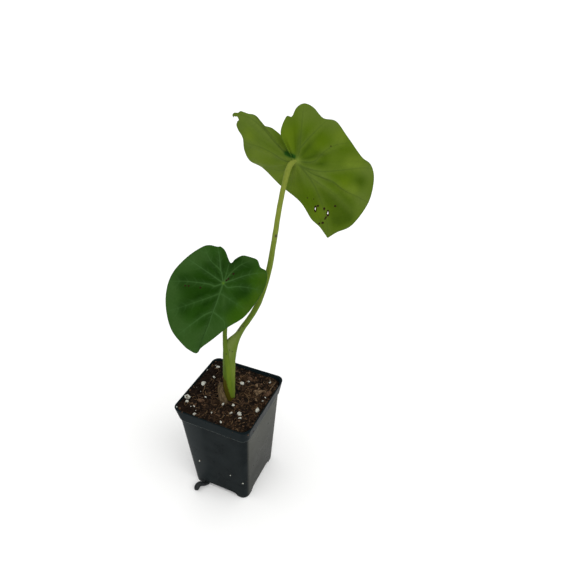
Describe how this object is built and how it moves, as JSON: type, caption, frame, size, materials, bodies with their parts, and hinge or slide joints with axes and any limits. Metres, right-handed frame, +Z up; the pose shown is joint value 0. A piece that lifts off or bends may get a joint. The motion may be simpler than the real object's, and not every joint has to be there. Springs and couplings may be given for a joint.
{
  "type": "potted elephant ear plant",
  "caption": "Young broad-leaved aroid with a dark lower leaf and a taller yellow-green leaf, in a square black nursery pot filled with peat and perlite mix.",
  "frame": {"origin": "on the ground, under the middle of the whole plant's box", "axes": "+Z up; the pot's sides are square to X and Y; the leaves lean towards +X and +Y and face the corner between +X and -Y"},
  "size_m": [0.1096, 0.1064, 0.2971],
  "materials": {
    "pot_plastic": "fine matt moulded polypropylene, dusty",
    "potting_mix": "moist peat and coir crumb with white perlite grains",
    "corm": "matt brown skin",
    "dried_sheath": "dry brown papery fibre",
    "green_stalk": "smooth satin green skin, brown at the foot",
    "dark_leaf": "satin dark green with pale veins",
    "pale_stalk": "smooth satin yellow green skin",
    "light_leaf": "matt yellow green underside with raised veins",
    "root_skin": "damp dark skin with brown specks"
  },
  "bodies": {
    "root": {"nursery_pot": "pot_plastic", "potting_mix": "potting_mix", "corm": "corm", "dried_leaf_base": "dried_sheath", "lower_petiole": "green_stalk", "lower_leaf_blade": "dark_leaf", "upper_petiole": "pale_stalk", "upper_leaf_blade": "light_leaf", "drain_root": "root_skin"}
  },
  "joints": []
}
